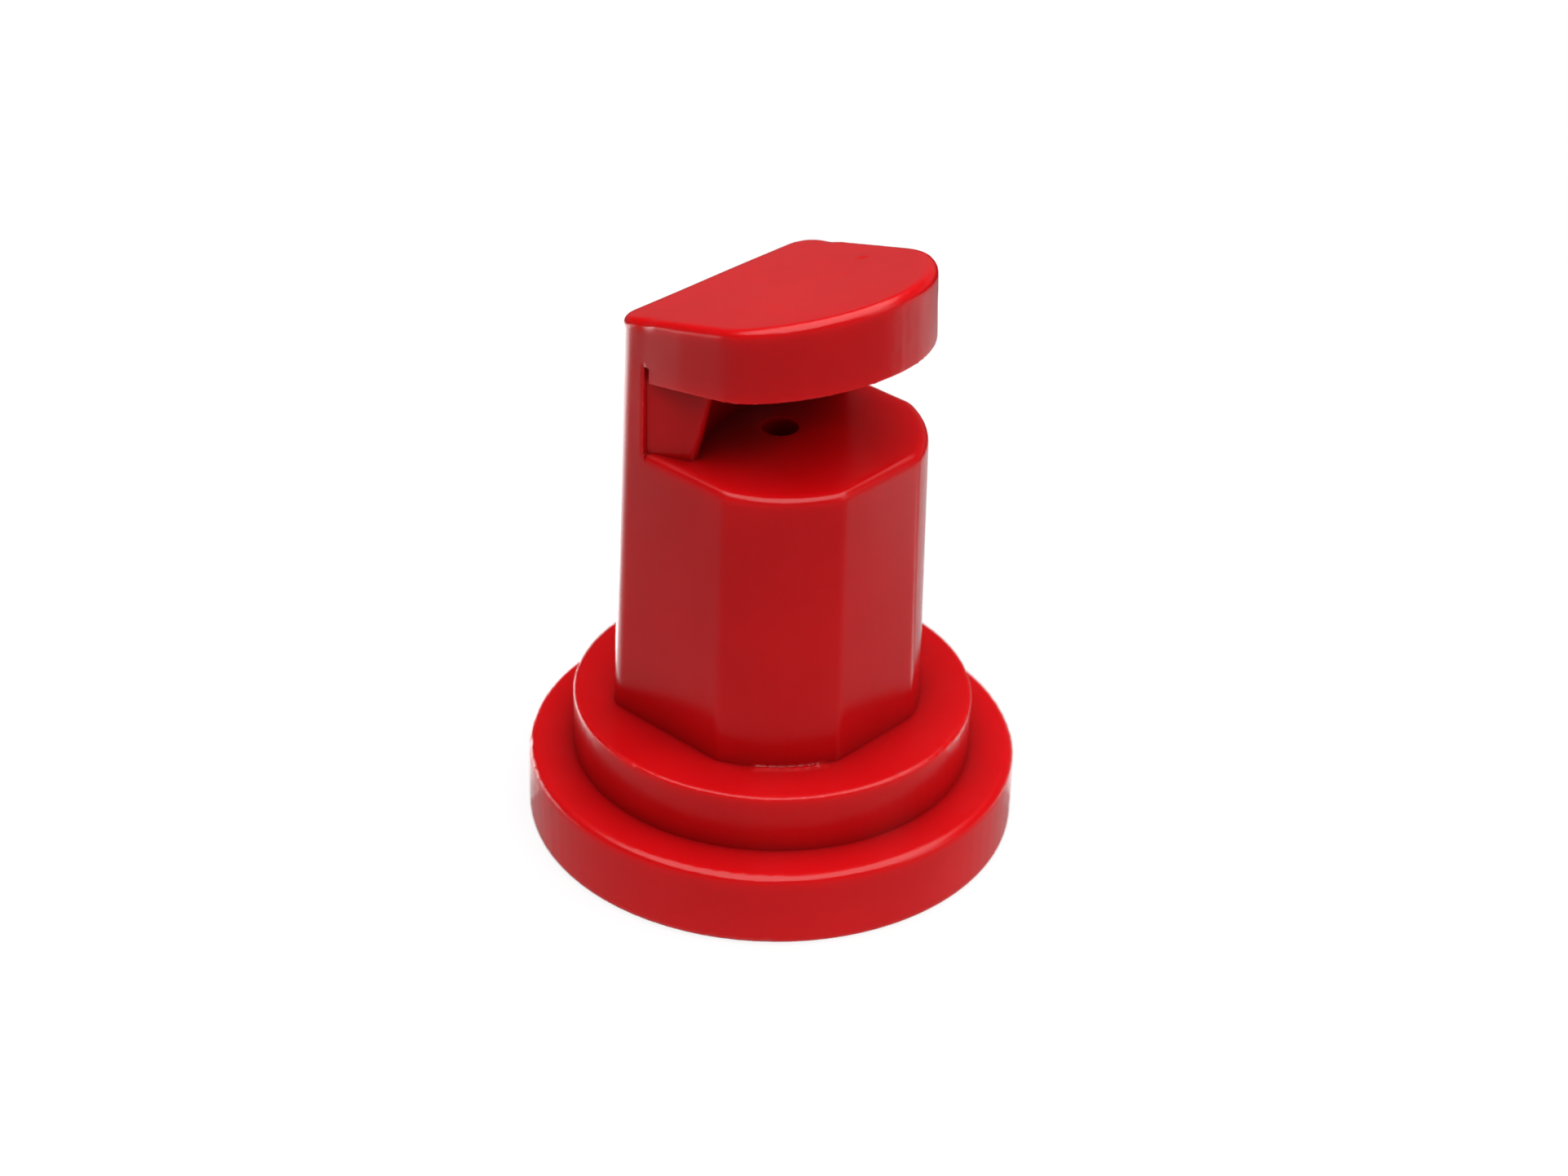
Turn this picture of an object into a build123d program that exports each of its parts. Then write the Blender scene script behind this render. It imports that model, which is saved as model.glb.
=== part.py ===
from build123d import *
import os
from math import radians, tan

# Deflector (flood) spray nozzle tip: a moulded tip that drops through a nozzle cap from below,
# a metering insert pressed into its inlet, and a flat seal that the cap squeezes when tightened.
# Frame: origin at the centre of the base face, +Z up the nozzle axis, spray leaves towards -Y.
# All sizes are in millimetres. The stem's sizes are those at its foot, on top of the pilot ring.

# Base: the flange that the cap clamps, and the pilot ring that centres it in the cap's hole
FLANGE_DIA = 15.0
FLANGE_HEIGHT = 2.4
FLANGE_EDGE = 0.25
PILOT_DIA = 12.2
PILOT_TOP = 4.25
PILOT_EDGE = 0.06

# Stem: a drafted round bar with flats at the front, the sides and the back
STEM_DIA = 9.0
STEM_FLATS = 8.38
STEM_BACK = 3.1
STEM_TOP = 13.2
DRAFT = 1.0
FLAT_EDGE = 0.5
BACK_CORNER = 0.75
RIM_EDGE = 0.28

# Deflector plate: round at the front, flat at the back and sides, rising towards the spray side
PLATE_DIA = 9.1
PLATE_DRAFT = 2.0
PLATE_SIDE_STEP = 0.03
PLATE_CORNER = 2.0
PLATE_TOP_ON_AXIS = 17.8
PLATE_TOP_TILT = 14.0
PLATE_UNDER_ON_AXIS = 15.75
PLATE_UNDER_TILT = 10.0
PLATE_EDGE = 0.25

# Web that carries the plate: set back from the corner posts, hollowed by the throat in front
POST_DEPTH = 1.5
WEB_SIDE_STEP = 0.18
WEB_SIDE_ANGLE = 21.0
WEB_EDGE = 0.18
NOTCH_WIDTH = 0.2
NOTCH_TOP = 15.95
THROAT_RADIUS = 4.85
THROAT_WALL_ON_FLOOR = 1.3
THROAT_LEAN = 15.0

# Waterway, from the holder's socket at the base to the orifice in the stem's top
SOCKET_DIA = 10.4
SOCKET_DEPTH = 1.3
SOCKET_CHAMFER = 0.3
POCKET_DIA = 9.8
POCKET_TOP = 2.5
SEAT_DIA = 6.4
SEAT_TOP = 3.4
CHAMBER_DIA = 3.8
CHAMBER_TOP = 11.4
ORIFICE_DIA = 1.1

# Metering insert
INSERT_CLEARANCE = 0.02
INSERT_LENGTH = 4.6
INSERT_LEAD_IN = 0.3
METER_HOLE_DIA = 0.9
METER_MOUTH_DIA = 3.0
METER_MOUTH_DEPTH = 2.2

# Flat inlet seal
SEAL_BORE = 5.0
SEAL_CLEARANCE = 0.05
SEAL_EDGE = 0.15

# Derived sizes
STEM_HALF = STEM_FLATS / 2
WEB_HALF = STEM_HALF - (STEM_TOP - PILOT_TOP) * tan(radians(DRAFT)) - WEB_SIDE_STEP
HEAD_ROOM = PLATE_TOP_ON_AXIS + STEM_HALF
POST_FRONT = STEM_BACK - POST_DEPTH

# Construction helpers: a block or cutter longer than anything in the part
REACH = 30.0
OVERLAP = 0.5
UPRIGHT = (Align.CENTER, Align.CENTER, Align.MIN)


def drum(diameter, bottom, top):
    """Round bar on the nozzle axis between two heights."""
    return Pos(0, 0, bottom) * Cylinder(diameter / 2, top - bottom, align=UPRIGHT)


def cone(bottom_diameter, top_diameter, bottom, top):
    """Tapered bar on the nozzle axis between two heights."""
    taper = Cone(bottom_diameter / 2, top_diameter / 2, top - bottom, align=UPRIGHT)
    return Pos(0, 0, bottom) * taper


def above(height_on_axis, tilt=0.0):
    """Everything above a plane that rises towards -Y by the tilt."""
    block = Box(REACH, REACH, REACH, align=UPRIGHT)
    return Pos(0, 0, height_on_axis) * Rot(-tilt, 0, 0) * block


def behind(y):
    """Everything on the back side of a vertical plane."""
    return Pos(0, y, 0) * Box(REACH, REACH, 2 * REACH, align=(Align.CENTER, Align.MIN, Align.CENTER))


def base():
    flange = drum(FLANGE_DIA, 0, FLANGE_HEIGHT)
    flange = fillet(flange.edges().filter_by(GeomType.CIRCLE), FLANGE_EDGE)
    pilot = drum(PILOT_DIA, FLANGE_HEIGHT - OVERLAP, PILOT_TOP)
    rim = pilot.edges().filter_by(GeomType.CIRCLE).sort_by(Axis.Z)[-1]
    return flange + fillet(rim, PILOT_EDGE)


def column_section(height):
    """Stem section at a height: round at the front, cut by four flats and drawn in by the draft."""
    inset = (height - PILOT_TOP) * tan(radians(DRAFT))
    half = STEM_FLATS / 2 - inset
    back = STEM_BACK - inset
    bar = Circle(STEM_DIA / 2 - inset) + Rectangle(REACH, REACH, align=(Align.CENTER, Align.MIN))
    flats = Pos(0, back) * Rectangle(2 * half, half + back, align=(Align.CENTER, Align.MAX))
    section = bar & flats
    back_corners = section.vertices().sort_by(Axis.Y)[-2:]
    section = fillet(back_corners, BACK_CORNER)
    flat_ends = section.vertices().filter_by(lambda v: v.Y < 0)
    return Pos(0, 0, height) * fillet(flat_ends, FLAT_EDGE)


def column():
    """The flatted bar from the stem's foot past the plate."""
    return loft([column_section(PILOT_TOP), column_section(HEAD_ROOM)], ruled=True)


def stem():
    shaft = column() - above(STEM_TOP)
    rim = shaft.faces().sort_by(Axis.Z)[-1].edges()
    return fillet(rim, RIM_EDGE)


def plate_section(height):
    """Plate section at a height: round, with side flats that stand just proud of the stem's."""
    disc = Circle(PLATE_DIA / 2 - (height - STEM_TOP) * tan(radians(PLATE_DRAFT)))
    half = STEM_HALF - (height - PILOT_TOP) * tan(radians(DRAFT)) + PLATE_SIDE_STEP
    section = disc & Rectangle(2 * half, REACH)
    return Pos(0, 0, height) * fillet(section.vertices(), PLATE_CORNER)


def plate():
    """Plate, merged with the two corner posts that stand at its back corners."""
    disc = loft([plate_section(STEM_TOP), plate_section(HEAD_ROOM)], ruled=True)
    disc = disc - behind(POST_FRONT)
    posts = column() & behind(POST_FRONT)
    head = disc + posts
    head = head - above(PLATE_TOP_ON_AXIS, PLATE_TOP_TILT)
    head = head & above(PLATE_UNDER_ON_AXIS, PLATE_UNDER_TILT)
    rim = head.faces().sort_by(Axis.Z)[-1].edges()
    return fillet(rim, PLATE_EDGE)


def side_relief():
    """Cutter that narrows the web in front of the corner post on the +X side."""
    wedge = Box(REACH, REACH, REACH, align=(Align.MIN, Align.MAX, Align.MIN))
    return Pos(WEB_HALF, POST_FRONT, 0) * Rot(0, 0, -WEB_SIDE_ANGLE) * wedge


def side_notch():
    """Cutter that carries the +X relief a little way up into the plate, close beside the post."""
    size = (REACH, NOTCH_WIDTH, NOTCH_TOP - STEM_TOP)
    return Pos(WEB_HALF, POST_FRONT, STEM_TOP) * Box(*size, align=(Align.MIN, Align.MAX, Align.MIN))


def throat_core():
    """Round-nosed core that leans forward and leaves the concave wall behind the orifice."""
    core = Cylinder(THROAT_RADIUS, 2 * REACH)
    return Pos(0, THROAT_WALL_ON_FLOOR - THROAT_RADIUS, STEM_TOP) * Rot(THROAT_LEAN, 0, 0) * core


def web():
    """Back web between stem and plate: full width at the corner posts, narrower in front."""
    block = column() & drum(REACH, STEM_TOP - OVERLAP, PLATE_UNDER_ON_AXIS + OVERLAP)
    block = block & behind(-STEM_HALF / 2)
    block = block - side_relief() - mirror(side_relief(), about=Plane.YZ)
    block = block - throat_core()
    front_edges = block.edges().filter_by(lambda e: e.length > 2).sort_by(Axis.Y)[:2]
    return fillet(front_edges, WEB_EDGE)


def waterway():
    socket = drum(SOCKET_DIA, -OVERLAP, SOCKET_DEPTH)
    mouth = cone(SOCKET_DIA + 2 * SOCKET_CHAMFER, SOCKET_DIA, 0, SOCKET_CHAMFER)
    pocket = drum(POCKET_DIA, SOCKET_DEPTH - OVERLAP, POCKET_TOP)
    seat = drum(SEAT_DIA, POCKET_TOP - OVERLAP, SEAT_TOP)
    chamber = drum(CHAMBER_DIA, SEAT_TOP - OVERLAP, CHAMBER_TOP)
    funnel_top = CHAMBER_TOP + (CHAMBER_DIA - ORIFICE_DIA) / 4
    funnel = cone(CHAMBER_DIA, ORIFICE_DIA, CHAMBER_TOP, funnel_top)
    orifice = drum(ORIFICE_DIA, funnel_top, STEM_TOP + OVERLAP)
    return socket + mouth + pocket + seat + chamber + funnel + orifice


def nozzle_body():
    body = base() + stem() + web() + plate() - waterway()
    return body - side_notch() - mirror(side_notch(), about=Plane.YZ)


def metering_insert():
    """Headed plug that sits in the seat and chamber, with a funnelled metering hole."""
    head_bottom = POCKET_TOP + INSERT_CLEARANCE
    tip_height = SEAT_TOP + INSERT_LENGTH
    head = drum(SEAT_DIA - 2 * INSERT_CLEARANCE, head_bottom, SEAT_TOP)
    shank = drum(CHAMBER_DIA - 2 * INSERT_CLEARANCE, SEAT_TOP - OVERLAP, tip_height)
    tip = shank.edges().filter_by(GeomType.CIRCLE).sort_by(Axis.Z)[-1]
    plug = head + chamfer(tip, INSERT_LEAD_IN)
    mouth = cone(METER_MOUTH_DIA, METER_HOLE_DIA, head_bottom, head_bottom + METER_MOUTH_DEPTH)
    return plug - mouth - drum(METER_HOLE_DIA, 0, STEM_TOP)


def inlet_seal():
    """Flat ring that fills the pocket above the socket and traps the insert's head."""
    ring = drum(POCKET_DIA - 2 * SEAL_CLEARANCE, SOCKET_DEPTH, POCKET_TOP - INSERT_CLEARANCE)
    ring = ring - drum(SEAL_BORE, 0, STEM_TOP)
    return fillet(ring.edges().filter_by(GeomType.CIRCLE), SEAL_EDGE)


def main():
    os.makedirs("parts", exist_ok=True)
    export_step(nozzle_body(), "parts/nozzle_body.step")
    export_step(metering_insert(), "parts/metering_insert.step")
    export_step(inlet_seal(), "parts/inlet_seal.step")


main()
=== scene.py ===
from math import radians

import bmesh
import bpy
import numpy as np
from mathutils import Matrix, Quaternion, Vector
from mathutils.bvhtree import BVHTree
from mathutils.kdtree import KDTree


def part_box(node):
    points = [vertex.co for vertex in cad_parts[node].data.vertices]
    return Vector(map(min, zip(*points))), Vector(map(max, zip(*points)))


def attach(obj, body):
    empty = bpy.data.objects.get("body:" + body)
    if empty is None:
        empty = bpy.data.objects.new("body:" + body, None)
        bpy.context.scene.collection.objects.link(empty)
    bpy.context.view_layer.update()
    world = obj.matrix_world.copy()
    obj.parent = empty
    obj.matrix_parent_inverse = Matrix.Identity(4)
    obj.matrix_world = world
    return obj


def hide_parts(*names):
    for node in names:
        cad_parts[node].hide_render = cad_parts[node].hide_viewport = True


# A moulded deflector nozzle tip with its metering insert and inlet seal, standing on a pale floor.
# The frame is in metres; the sizes and places below are in millimetres and go through MM.
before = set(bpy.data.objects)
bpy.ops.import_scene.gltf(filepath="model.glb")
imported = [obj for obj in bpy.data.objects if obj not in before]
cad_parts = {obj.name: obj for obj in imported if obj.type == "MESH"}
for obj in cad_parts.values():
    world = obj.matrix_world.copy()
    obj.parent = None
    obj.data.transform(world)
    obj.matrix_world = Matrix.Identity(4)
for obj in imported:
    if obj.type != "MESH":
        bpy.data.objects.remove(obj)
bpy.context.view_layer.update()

MM = 0.001
BODY_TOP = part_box("nozzle_body")[1].z / MM

# Meshing: how finely each copy is divided, and what counts as a sharp edge of the CAD shape
BODY_DEPTH = 8
SMALL_PART_DEPTH = 6
REMESH_FILL = 0.9
SHARP_TURN = radians(25)
LINE_STEP = 0.02
SNAP_SHARE = 0.25
RELAX_ROUNDS = 2
SHADE_SPLIT = radians(50)
WELD_DISTANCE = 0.001
FULL_EDGE = 0.25
EDGE_SOFTENING = 0.6

# Moulding marks on the body: rims as radius and height, their dents, a pip on the plate's top, and
# sink hollows that start above the web's foot and reach full depth a little higher
FLANGE_RIM = (7.5, 2.4)
PILOT_RIM = (6.1, 4.25)
NICK_COUNT = 26
NICK_DEPTHS = (0.004, 0.018)
NICK_RADII = (0.18, 0.4)
PIP_PLACE = (2.76, -0.51)
PIP_RADIUS = 0.22
PIP_HEIGHT = 0.03
PIP_STEEPNESS = 1.5
PIP_FLOOR = 17.0
SINK_DEPTH = 0.02
SINK_START = 14.0
SINK_RISE = 3.0

# Flash line at the stem's foot: from and to how many degrees round from -Y towards -X
FLASH_ANGLES = (25.0, 56.0)
FLASH_FADE = 4.0
FLASH_OUTSIDE = 4.66
FLASH_HEIGHT = 0.07
LEVEL_TOLERANCE = 0.02

# Corner posts: their front face, half their spread over the stem's foot, and how it narrows with height
POST_FRONT = 1.6
POST_TOLERANCE = 0.01
POST_INSIDE = 3.6
POST_HALF_AT_FOOT = 4.19
POST_DRAFT = 0.01746
PLATE_BOTTOM = 15.3
NOTCH_TOP = 16.1
BLEND_LENGTH = 1.4
SMOOTH_REACH = 0.35
SMOOTH_ROUNDS = 8

# Camera, looking down at the spray side's left corner
CAMERA_AZIMUTH = -47.76
CAMERA_ELEVATION = 31.17
CAMERA_ROLL = 1.657
CAMERA_DISTANCE = 90.0
CAMERA_TARGET = Vector((0.173, -0.190, 7.705))
CAMERA_LENS = 68.68
CAMERA_FSTOP = 80.0
FOCUS_POINT = Vector((-3.2, -3.2, 9.0))

# Light: sky and floor as the camera sees them, as a light, and as the glossy plastic mirrors them
PALE = 1.02
SKY_LIGHT = 0.04
SKY_MIRRORED_LOW = 0.22
SKY_MIRRORED_HIGH = 0.04
SKY_FADE = (0.15, 0.5)
FLOOR_SIDE = 1200.0
FLOOR_DROP = 0.02
FLOOR_LIGHT_NEAR = 1.0
FLOOR_LIGHT_FAR = 0.42
FLOOR_SEEN_GLOW = 0.85
FLOOR_SEEN_GREY = 0.9
UNDERSIDE_LIGHT = 0.35
UNDERSIDE_RADIUS = 7.2
FLOOR_MIRRORED_BEFORE = 0.28
FLOOR_MIRRORED_BESIDE = 0.40
FLOOR_MIRRORED_BEHIND = 6.0
FLOOR_MIRRORED_FAR_RIGHT = 0.12
FLOOR_MIRRORED_FAR_BEHIND = 0.02

# Where the floor's brightness changes: the distances from the origin between which each change runs.
# In reflections they are to the camera's side, negative behind the object, or to the right of it.
LIGHT_FADE = (10.0, 18.0)
BEHIND_RISE = (0.5, -10.0)
BEFORE_FADE = (1.0, 14.0)
RIGHT_FADE = (4.0, 7.0)
RIGHT_BEHIND_FADE = (-2.5, -5.0)
FAR_BEHIND_FADE = (-24.0, -45.0)


# ---------------------------------------------------------------- meshes


def link(obj):
    bpy.context.scene.collection.objects.link(obj)
    return obj


def positions(mesh):
    """Vertex positions as rows of an array."""
    flat = np.empty(len(mesh.vertices) * 3, np.float32)
    mesh.vertices.foreach_get("co", flat)
    return flat.reshape(-1, 3).astype(float)


def set_positions(mesh, points):
    mesh.vertices.foreach_set("co", points.astype(np.float32).ravel())
    mesh.update()


def normals(mesh):
    """Vertex normals as rows of an array."""
    flat = np.empty(len(mesh.vertices) * 3, np.float32)
    mesh.vertex_normals.foreach_get("vector", flat)
    return flat.reshape(-1, 3).astype(float)


def neighbour_average(mesh, points):
    """For each vertex, the mean position of the vertices that share an edge with it."""
    pairs = np.empty(len(mesh.edges) * 2, np.int32)
    mesh.edges.foreach_get("vertices", pairs)
    first, second = pairs.reshape(-1, 2).T
    total = np.zeros_like(points)
    np.add.at(total, first, points[second])
    np.add.at(total, second, points[first])
    count = np.bincount(first, minlength=len(points)) + np.bincount(second, minlength=len(points))
    return total / count[:, None]


def cad_shape(node):
    """The CAD node as one welded bmesh in millimetres."""
    shape = bmesh.new()
    shape.from_mesh(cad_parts[node].data)
    bmesh.ops.transform(shape, matrix=Matrix.Scale(1 / MM, 4), verts=shape.verts)
    bmesh.ops.remove_doubles(shape, verts=shape.verts, dist=WELD_DISTANCE)
    return shape


def sharp_lines(shape):
    """A search tree of points strung along the shape's sharp edges."""
    points = []
    for edge in shape.edges:
        if edge.is_manifold and edge.calc_face_angle() > SHARP_TURN:
            start, end = (vert.co for vert in edge.verts)
            steps = max(1, round((end - start).length / LINE_STEP))
            points += [start.lerp(end, i / steps) for i in range(steps + 1)]
    tree = KDTree(len(points))
    for index, point in enumerate(points):
        tree.insert(point, index)
    tree.balance()
    return tree


def even_mesh(shape, name, depth):
    """An even quad mesh of the shape that keeps its sharp edges."""
    rough = bpy.data.meshes.new(name)
    shape.to_mesh(rough)
    obj = link(bpy.data.objects.new(name, rough))
    remesh = obj.modifiers.new("even_mesh", "REMESH")
    remesh.mode = "SHARP"
    remesh.octree_depth = depth
    remesh.scale = REMESH_FILL
    remesh.use_remove_disconnected = False
    evaluated = obj.evaluated_get(bpy.context.evaluated_depsgraph_get())
    obj.data = bpy.data.meshes.new_from_object(evaluated)
    obj.modifiers.clear()
    obj.data.name = name
    return obj


def grid_size(shape, depth):
    """Side of the remesh's cells, in millimetres."""
    corners = np.array([vert.co for vert in shape.verts])
    return (corners.max(axis=0) - corners.min(axis=0)).max() / REMESH_FILL / 2**depth


def fit_to_cad(mesh, shape, grid):
    """Moves each vertex onto the CAD surface, and those beside a sharp edge onto that edge."""
    surface = BVHTree.FromBMesh(shape)
    lines = sharp_lines(shape)
    points = positions(mesh)
    loose = []
    for index, point in enumerate(points):
        line_point, _, distance = lines.find(point)
        if distance < SNAP_SHARE * grid:
            points[index] = line_point
        else:
            loose.append(index)
    for _ in range(RELAX_ROUNDS):
        points[loose] = (points[loose] + neighbour_average(mesh, points)[loose]) / 2
        points[loose] = [surface.find_nearest(point)[0] for point in points[loose]]
    set_positions(mesh, points)


def convexity(mesh, rounds=3):
    """How far each vertex stands out of its surroundings, in millimetres; negative in corners."""
    points = positions(mesh)
    level = points
    for _ in range(rounds):
        level = neighbour_average(mesh, level)
    return ((points - level) * normals(mesh)).sum(axis=1)


def break_edges(mesh, grid):
    """Takes the sharpness off convex edges and leaves the corners crisp."""
    points = positions(mesh)
    share = np.clip(convexity(mesh) / (FULL_EDGE * grid), 0, 1)[:, None]
    set_positions(mesh, points + EDGE_SOFTENING * share * (neighbour_average(mesh, points) - points))


def fine_copy(node, name, depth):
    """An even, fine mesh of a CAD node, in millimetres, with crisp corners and just-broken edges."""
    shape = cad_shape(node)
    grid = grid_size(shape, depth)
    obj = even_mesh(shape, name, depth)
    fit_to_cad(obj.data, shape, grid)
    shape.free()
    break_edges(obj.data, grid)
    return obj


def store_edges(mesh):
    """Keeps each vertex's convexity in millimetres for the materials' edge wear and the body's painted
    edge highlight.
    """
    attribute = mesh.attributes.new("edge", "FLOAT", "POINT")
    attribute.data.foreach_set("value", convexity(mesh, rounds=4).astype(np.float32))


def finished(obj, node, material):
    """Takes a piece from millimetres to its place in the frame, in place of its CAD node."""
    store_edges(obj.data)
    obj.data.transform(Matrix.Scale(MM, 4))
    obj.data.shade_smooth()
    obj.data.set_sharp_from_angle(angle=SHADE_SPLIT)
    obj.data.materials.clear()
    obj.data.materials.append(material)
    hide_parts(node)
    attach(obj, "root")


# ---------------------------------------------------------------- moulding marks


def dimple(points, centre, radius):
    """1 at the centre, falling smoothly to 0 at the radius."""
    distance = np.linalg.norm(points - centre, axis=1) / radius
    return np.clip(1 - distance**2, 0, 1) ** 2


def shrinkage(points):
    """Slow hills and hollows that a thick moulding takes as it cools, from -1 to 1."""
    x, y, z = points.T
    return (np.sin(1.1 * x + 0.4) * np.cos(0.9 * y - 0.3 * z) + np.sin(0.7 * z + 0.8 * y + 1.3)) / 2


def rim_nicks(points):
    """Small dents along the rims of the flange and the pilot, from handling and ejection."""
    dice = np.random.default_rng(11)
    depth = np.zeros(len(points))
    for index in range(NICK_COUNT):
        radius, height = (FLANGE_RIM, PILOT_RIM)[index % 2]
        angle = dice.uniform(0, 2 * np.pi)
        centre = np.array((radius * np.cos(angle), radius * np.sin(angle), height))
        depth += dice.uniform(*NICK_DEPTHS) * dimple(points, centre, dice.uniform(*NICK_RADII))
    return depth


def flash_line(points):
    """Faint ridge on the pilot's top, where the mould's parts met around the front of the stem."""
    x, y, z = points.T
    around = np.degrees(np.arctan2(-x, -y))
    start, end = FLASH_ANGLES
    ends = np.clip(np.minimum(around - start, end - around) / FLASH_FADE, 0, 1)
    on_top = (abs(z - PILOT_RIM[1]) < LEVEL_TOLERANCE) & (np.hypot(x, y) < FLASH_OUTSIDE)
    return FLASH_HEIGHT * ends * on_top * (0.75 + 0.25 * np.sin(1.7 * around))


def blend_posts(mesh):
    """Runs the plate's sides into the posts, in place of the CAD shape's hair-thin step."""
    points = positions(mesh)
    x, y, z = points.T
    post_half = POST_HALF_AT_FOOT - (z - PILOT_RIM[1]) * POST_DRAFT
    on_plate = (z > PLATE_BOTTOM) & (y < POST_FRONT + POST_TOLERANCE)
    proud = np.clip(abs(x) - post_half, 0, None) * on_plate
    taper = np.clip(1 - (POST_FRONT - y) / BLEND_LENGTH, 0, 1)
    points[:, 0] -= np.sign(x) * proud * taper
    beside = (abs(x) > POST_INSIDE) & (z > NOTCH_TOP)
    near = np.clip(1 - abs(y - POST_FRONT) / SMOOTH_REACH, 0, 1) * beside
    for _ in range(SMOOTH_ROUNDS):
        points += near[:, None] * (neighbour_average(mesh, points) - points)
    set_positions(mesh, points)


def mark_body(mesh):
    """Adds the moulding's own unevenness to the body."""
    blend_posts(mesh)
    points = positions(mesh)
    outward = normals(mesh)
    x, y, z = points.T
    relief = -SINK_DEPTH / 2 * (1 + shrinkage(points)) * np.clip((z - SINK_START) / SINK_RISE, 0, 1)
    relief += flash_line(points) - rim_nicks(points)
    from_pip = np.hypot(x - PIP_PLACE[0], y - PIP_PLACE[1]) / PIP_RADIUS
    relief += PIP_HEIGHT * (z > PIP_FLOOR) * np.clip(PIP_STEEPNESS - PIP_STEEPNESS * from_pip, 0, 1)
    set_positions(mesh, points + outward * relief[:, None])


# ---------------------------------------------------------------- materials


class Nodes:
    """A node tree, with short calls for what the materials below share."""

    def __init__(self, tree):
        self.tree = tree
        tree.nodes.clear()

    def node(self, kind, **settings):
        node = self.tree.nodes.new(kind)
        for name, value in settings.items():
            setattr(node, name, value)
        return node

    def join(self, source, target):
        """Feeds a socket from another socket, or from a plain value."""
        if isinstance(source, bpy.types.NodeSocket):
            self.tree.links.new(source, target)
        else:
            target.default_value = source

    def place(self):
        """Where the point is on the object, in millimetres."""
        scale = self.node("ShaderNodeVectorMath", operation="SCALE")
        scale.inputs["Scale"].default_value = 1 / MM
        self.join(self.node("ShaderNodeTexCoord").outputs["Object"], scale.inputs[0])
        return scale.outputs["Vector"]

    def noise(self, per_mm, detail=3.0, roughness=0.5, stretch=(1, 1, 1)):
        """Noise from 0 to 1 with about that many features in a millimetre."""
        mapping = self.node("ShaderNodeMapping")
        mapping.inputs["Scale"].default_value = stretch
        self.join(self.place(), mapping.inputs["Vector"])
        texture = self.node("ShaderNodeTexNoise")
        self.join(mapping.outputs["Vector"], texture.inputs["Vector"])
        self.join(per_mm, texture.inputs["Scale"])
        self.join(detail, texture.inputs["Detail"])
        self.join(roughness, texture.inputs["Roughness"])
        return texture.outputs["Fac"]

    def spread(self, value, low, high, to_low=0.0, to_high=1.0):
        """Maps low..high to to_low..to_high, clamped."""
        remap = self.node("ShaderNodeMapRange")
        for index, item in enumerate((value, low, high, to_low, to_high)):
            self.join(item, remap.inputs[index])
        return remap.outputs["Result"]

    def math(self, operation, first, second=0.0):
        node = self.node("ShaderNodeMath", operation=operation)
        self.join(first, node.inputs[0])
        self.join(second, node.inputs[1])
        return node.outputs[0]

    def place_in_view(self):
        """For a point on the floor: how far right of the origin and how far in front of it, as seen."""
        turned = self.node("ShaderNodeVectorTransform", vector_type="VECTOR")
        turned.convert_from, turned.convert_to = "WORLD", "CAMERA"
        self.join(self.place(), turned.inputs["Vector"])
        seen = self.node("ShaderNodeSeparateXYZ")
        self.join(turned.outputs["Vector"], seen.inputs["Vector"])
        right, up = seen.outputs["X"], seen.outputs["Y"]
        across = self.math("MULTIPLY", right, right)
        along = self.math("SUBTRACT", self.dot(self.place(), self.place()), across)
        distance = self.math("SQRT", self.math("MAXIMUM", along, 0.0))
        return right, self.math("MULTIPLY", distance, self.math("SIGN", self.math("MULTIPLY", up, -1.0)))

    def dot(self, first, second):
        node = self.node("ShaderNodeVectorMath", operation="DOT_PRODUCT")
        self.join(first, node.inputs[0])
        self.join(second, node.inputs[1])
        return node.outputs["Value"]

    def mix(self, amount, first, second):
        """Colour between the first and the second."""
        node = self.node("ShaderNodeMix", data_type="RGBA")
        self.join(amount, node.inputs["Factor"])
        self.join(first, node.inputs["A"])
        self.join(second, node.inputs["B"])
        return node.outputs["Result"]

    def bump(self, height, depth_mm, under=None):
        """Surface relief whose full height is depth_mm."""
        node = self.node("ShaderNodeBump")
        self.join(1.0, node.inputs["Strength"])
        self.join(depth_mm * MM, node.inputs["Distance"])
        self.join(height, node.inputs["Height"])
        if under is not None:
            self.join(under, node.inputs["Normal"])
        return node.outputs["Normal"]

    def edges(self, low, high):
        """0 to 1 where the stored convexity goes from low to high, in millimetres."""
        attribute = self.node("ShaderNodeAttribute", attribute_name="edge")
        return self.spread(attribute.outputs["Fac"], low, high)

    def openness(self, reach_mm):
        """1 on open faces, falling to 0 deep in corners and slots narrower than the reach."""
        node = self.node("ShaderNodeAmbientOcclusion", samples=8, only_local=True)
        self.join(reach_mm * MM, node.inputs["Distance"])
        return node.outputs["AO"]

    def ray(self, kind):
        """1 for rays of that kind, 0 for others."""
        return self.node("ShaderNodeLightPath").outputs[f"Is {kind} Ray"]

    def shader_mix(self, amount, first, second):
        node = self.node("ShaderNodeMixShader")
        self.join(amount, node.inputs["Fac"])
        self.join(first, node.inputs[1])
        self.join(second, node.inputs[2])
        return node.outputs["Shader"]

    def matt(self, brightness):
        """A diffuse grey surface."""
        node = self.node("ShaderNodeBsdfDiffuse")
        self.join(self.mix(brightness, (0, 0, 0, 1), (1, 1, 1, 1)), node.inputs["Color"])
        return node.outputs["BSDF"]

    def glow(self, strength):
        node = self.node("ShaderNodeEmission")
        self.join(strength, node.inputs["Strength"])
        return node.outputs["Emission"]

    def surface(self, **inputs):
        """A Principled surface."""
        shader = self.node("ShaderNodeBsdfPrincipled")
        for name, value in inputs.items():
            self.join(value, shader.inputs[name.replace("_", " ")])
        return shader.outputs["BSDF"]

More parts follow.
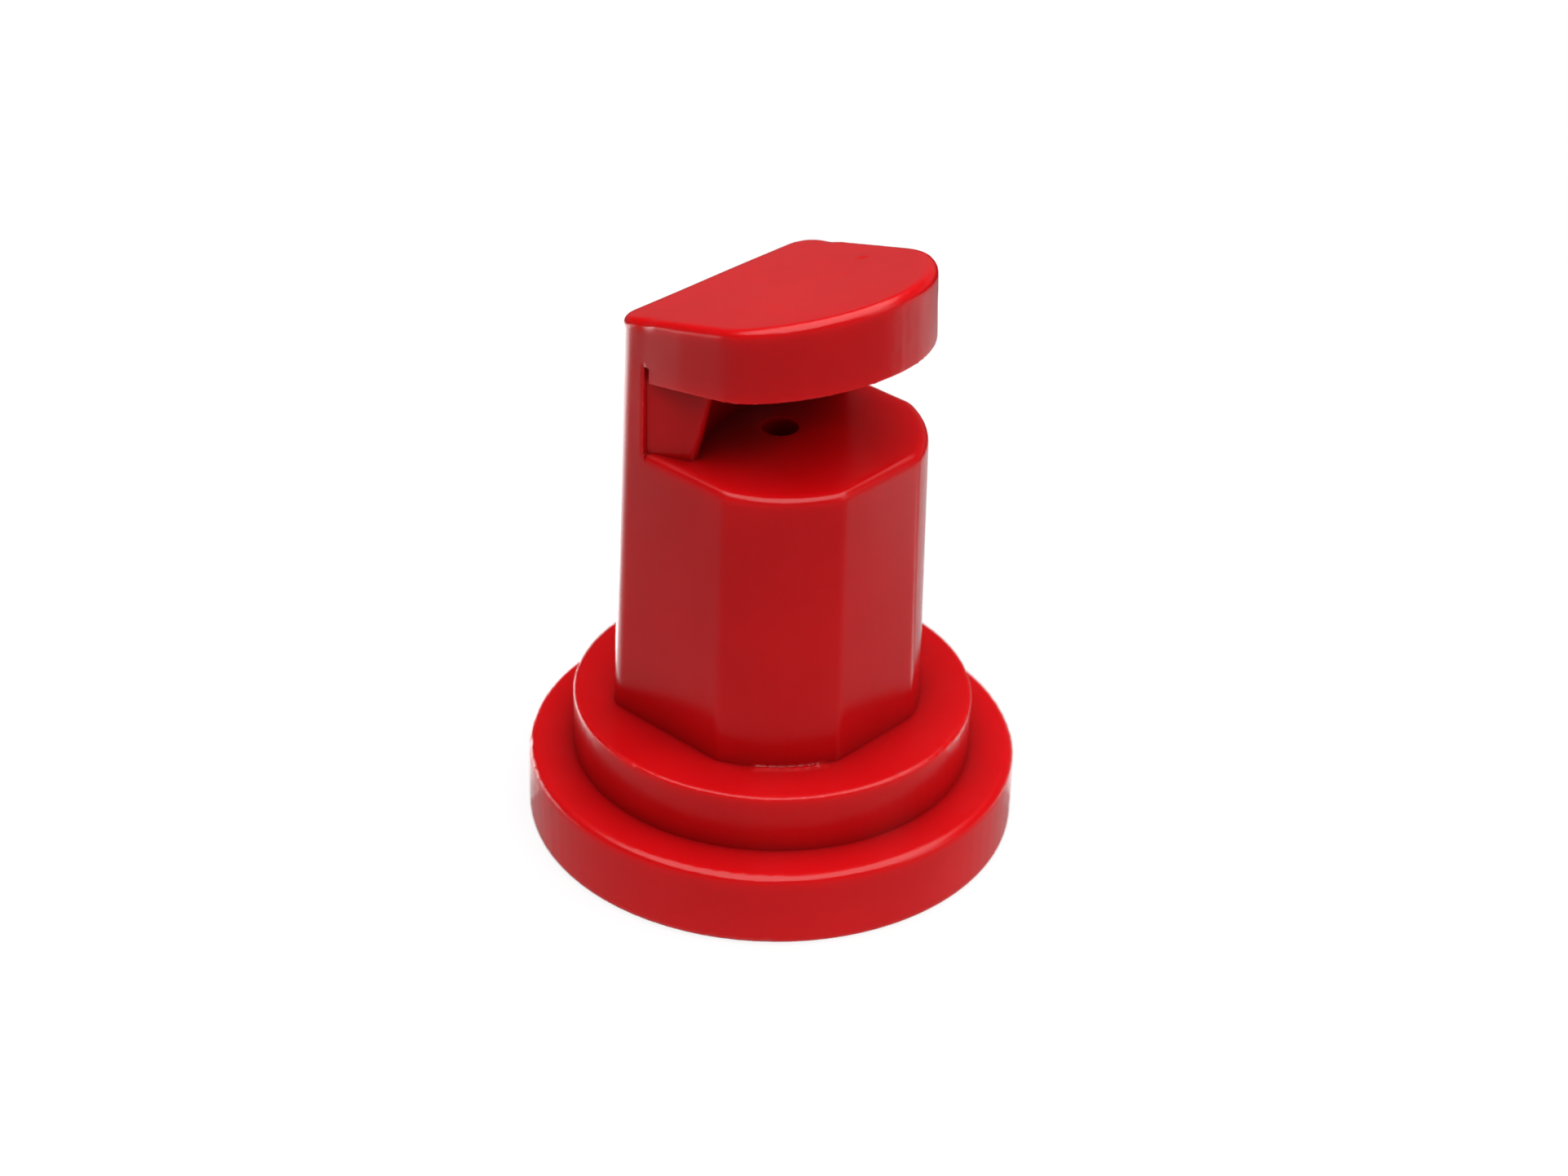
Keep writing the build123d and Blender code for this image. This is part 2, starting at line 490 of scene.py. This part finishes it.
    def output(self, shader, kind="Material"):
        self.join(shader, self.node(f"ShaderNodeOutput{kind}").inputs["Surface"])


def new_material(name):
    material = bpy.data.materials.new(name)
    material.use_nodes = True
    return material, Nodes(material.node_tree)


def red_acetal():
    """Glossy moulded acetal, coloured through and slightly translucent."""
    material, n = new_material("red_acetal")
    clouds = n.spread(n.noise(0.22, detail=4.0), 0.35, 0.65)
    colour = n.mix(clouds, (0.62, 0.0035, 0.0060, 1), (0.68, 0.0048, 0.0078, 1))
    # Convex edges lightened towards pale pink: partly edge wear, partly a painted highlight on the rims.
    edge_wear_and_highlight = n.math("MULTIPLY", n.edges(0.02, 0.05), n.spread(n.noise(3.5, detail=7.0), 0.48, 0.75))
    colour = n.mix(n.math("MULTIPLY", edge_wear_and_highlight, 0.3), colour, (0.85, 0.08, 0.09, 1))
    # Painted shade: the colour darkens towards black in corners, at the stem's foot and deep in the slot
    # under the plate.
    painted_shade = n.spread(n.openness(2.8), 0.1, 0.8, 0.80, 0.0)
    colour = n.mix(painted_shade, colour, (0.0, 0.0, 0.0, 1))
    smears = n.noise(1.2, detail=5.0, roughness=0.62)
    gloss = n.spread(smears, 0.3, 0.7, 0.18, 0.25)
    gloss = n.math("ADD", gloss, n.math("MULTIPLY", edge_wear_and_highlight, 0.12))
    waves = n.bump(n.noise(0.5, detail=2.0), 0.015)
    grain = n.bump(n.noise(16.0, detail=4.0, roughness=0.6), 0.0008, under=waves)
    n.output(n.surface(
        Base_Color=colour, Roughness=gloss, IOR=1.44, Normal=grain,
        Subsurface_Weight=1.0, Subsurface_Radius=(1.0, 0.08, 0.06), Subsurface_Scale=0.8 * MM,
    ))
    return material


def natural_acetal():
    """Uncoloured, milky acetal with a satin moulded finish."""
    material, n = new_material("natural_acetal")
    clouds = n.spread(n.noise(0.5, detail=4.0), 0.35, 0.65)
    colour = n.mix(clouds, (0.78, 0.76, 0.70, 1), (0.85, 0.83, 0.78, 1))
    edge_wear_and_highlight = n.math("MULTIPLY", n.edges(0.005, 0.02), n.noise(3.0, detail=6.0))
    colour = n.mix(n.math("MULTIPLY", edge_wear_and_highlight, 0.4), colour, (0.92, 0.91, 0.88, 1))
    gloss = n.spread(n.noise(2.0, detail=5.0), 0.3, 0.7, 0.32, 0.45)
    grain = n.bump(n.noise(14.0, detail=4.0), 0.001)
    n.output(n.surface(
        Base_Color=colour, Roughness=gloss, IOR=1.48, Normal=grain,
        Subsurface_Weight=0.6, Subsurface_Radius=(1.0, 0.9, 0.8), Subsurface_Scale=0.5 * MM,
    ))
    return material


def seal_rubber():
    """Black nitrile rubber, matt, with a fine grain."""
    material, n = new_material("seal_rubber")
    clouds = n.spread(n.noise(1.0, detail=5.0), 0.35, 0.65)
    colour = n.mix(clouds, (0.012, 0.012, 0.013, 1), (0.026, 0.026, 0.027, 1))
    dust = n.spread(n.noise(6.0, detail=6.0, roughness=0.75), 0.62, 0.75)
    colour = n.mix(n.math("MULTIPLY", dust, 0.3), colour, (0.09, 0.09, 0.085, 1))
    gloss = n.spread(n.noise(3.0, detail=5.0), 0.3, 0.7, 0.5, 0.68)
    grain = n.bump(n.noise(12.0, detail=6.0, roughness=0.7), 0.006)
    n.output(n.surface(Base_Color=colour, Roughness=gloss, IOR=1.52, Normal=grain))
    return material


# ---------------------------------------------------------------- stage


def bearing(azimuth, elevation):
    """Unit vector from the object towards a viewer; azimuth 0 looks along +Y."""
    a, e = radians(azimuth), radians(elevation)
    return Vector((np.sin(a) * np.cos(e), -np.cos(a) * np.cos(e), np.sin(e)))


def floor_material():
    """Pale floor, brightest behind the object and on its left in reflections; clear from below."""
    material, n = new_material("pale_floor")
    to_right, to_camera = n.place_in_view()
    behind = n.spread(to_camera, *BEHIND_RISE, FLOOR_MIRRORED_BESIDE, FLOOR_MIRRORED_BEHIND)
    before = n.spread(to_camera, *BEFORE_FADE, 0.0, FLOOR_MIRRORED_BESIDE - FLOOR_MIRRORED_BEFORE)
    rightward = n.spread(to_right, *RIGHT_FADE)
    far_right = n.math("MULTIPLY", rightward, n.spread(to_camera, *RIGHT_BEHIND_FADE))
    dimming = n.spread(far_right, 0.0, 1.0, 1.0, FLOOR_MIRRORED_FAR_RIGHT)
    far_behind = n.spread(to_camera, *FAR_BEHIND_FADE, 1.0, FLOOR_MIRRORED_FAR_BEHIND)
    dimming = n.math("MULTIPLY", dimming, far_behind)
    mirrored = n.glow(n.math("MULTIPLY", n.math("SUBTRACT", behind, before), dimming))
    paper = n.spread(n.noise(0.02, detail=3.0), 0.3, 0.7, PALE, 1.03 * PALE)
    away = n.math("SQRT", n.dot(n.place(), n.place()))
    lit = n.matt(n.spread(away, *LIGHT_FADE, FLOOR_LIGHT_NEAR, FLOOR_LIGHT_FAR))
    seen = n.shader_mix(FLOOR_SEEN_GLOW, n.matt(FLOOR_SEEN_GREY), n.glow(paper))
    face = n.shader_mix(n.ray("Glossy"), lit, mirrored)
    face = n.shader_mix(n.ray("Camera"), face, seen)
    beneath = n.spread(away, UNDERSIDE_RADIUS + 0.1, UNDERSIDE_RADIUS - 0.1)
    face = n.shader_mix(beneath, face, n.glow(UNDERSIDE_LIGHT))
    clear = n.node("ShaderNodeBsdfTransparent").outputs["BSDF"]
    below = n.node("ShaderNodeNewGeometry").outputs["Backfacing"]
    n.output(n.shader_mix(below, face, clear))
    return material


def add_floor():
    """A square floor just under the object."""
    mesh = bpy.data.meshes.new("floor")
    reach = FLOOR_SIDE / 2 * MM
    places = [(x * reach, y * reach, -FLOOR_DROP * MM) for x, y in ((-1, -1), (1, -1), (1, 1), (-1, 1))]
    mesh.from_pydata(places, [], [(0, 1, 2, 3)])
    mesh.materials.append(floor_material())
    link(bpy.data.objects.new("floor", mesh))


def add_world():
    """Pale surroundings: near white to the camera, dim as a light, darker overhead in reflections."""
    world = bpy.data.worlds.new("studio")
    bpy.context.scene.world = world
    world.use_nodes = True
    n = Nodes(world.node_tree)
    direction = n.node("ShaderNodeTexCoord").outputs["Generated"]
    height = n.dot(direction, (0, 0, 1))
    mirrored = n.spread(height, *SKY_FADE, SKY_MIRRORED_LOW, SKY_MIRRORED_HIGH)
    strength = n.spread(n.ray("Glossy"), 0, 1, SKY_LIGHT, mirrored)
    strength = n.spread(n.ray("Camera"), 0, 1, strength, PALE)
    background = n.node("ShaderNodeBackground")
    n.join(strength, background.inputs["Strength"])
    n.output(background.outputs["Background"], kind="World")


def add_softbox(name, azimuth, elevation, distance, side, radiance):
    """A square area light at a bearing and a distance from the object, and aimed at its middle."""
    lamp = bpy.data.lights.new(name, "AREA")
    lamp.shape = "SQUARE"
    lamp.size = side * MM
    lamp.energy = radiance * np.pi * lamp.size**2
    obj = link(bpy.data.objects.new(name, lamp))
    back = bearing(azimuth, elevation)
    obj.location = (Vector((0, 0, BODY_TOP / 2)) + back * distance) * MM
    obj.rotation_mode = "QUATERNION"
    obj.rotation_quaternion = (-back).to_track_quat("-Z", "Y")


def add_camera():
    camera = bpy.data.cameras.new("camera")
    camera.lens = CAMERA_LENS
    camera.clip_start = 1 * MM
    camera.clip_end = 10.0
    obj = link(bpy.data.objects.new("camera", camera))
    back = bearing(CAMERA_AZIMUTH, CAMERA_ELEVATION)
    obj.location = (CAMERA_TARGET + back * CAMERA_DISTANCE) * MM
    obj.rotation_mode = "QUATERNION"
    upright = (-back).to_track_quat("-Z", "Y")
    obj.rotation_quaternion = upright @ Quaternion((0, 0, 1), radians(CAMERA_ROLL))
    focus = link(bpy.data.objects.new("focus", None))
    focus.location = FOCUS_POINT * MM
    camera.dof.use_dof = True
    camera.dof.focus_object = focus
    camera.dof.aperture_fstop = CAMERA_FSTOP
    bpy.context.scene.camera = obj


# ---------------------------------------------------------------- the object

body = fine_copy("nozzle_body", "body", BODY_DEPTH)
mark_body(body.data)
finished(body, "nozzle_body", red_acetal())

insert = fine_copy("metering_insert", "insert", SMALL_PART_DEPTH)
finished(insert, "metering_insert", natural_acetal())

seal = fine_copy("inlet_seal", "seal", SMALL_PART_DEPTH)
finished(seal, "inlet_seal", seal_rubber())

add_floor()
add_world()
add_softbox("top_light", azimuth=-10, elevation=81, distance=150, side=260, radiance=2.5)
add_softbox("front_light", CAMERA_AZIMUTH, elevation=58, distance=160, side=120, radiance=0.22)
add_softbox("right_light", azimuth=25, elevation=22, distance=150, side=70, radiance=0.9)
add_camera()
bpy.context.scene.view_settings.view_transform = "Standard"
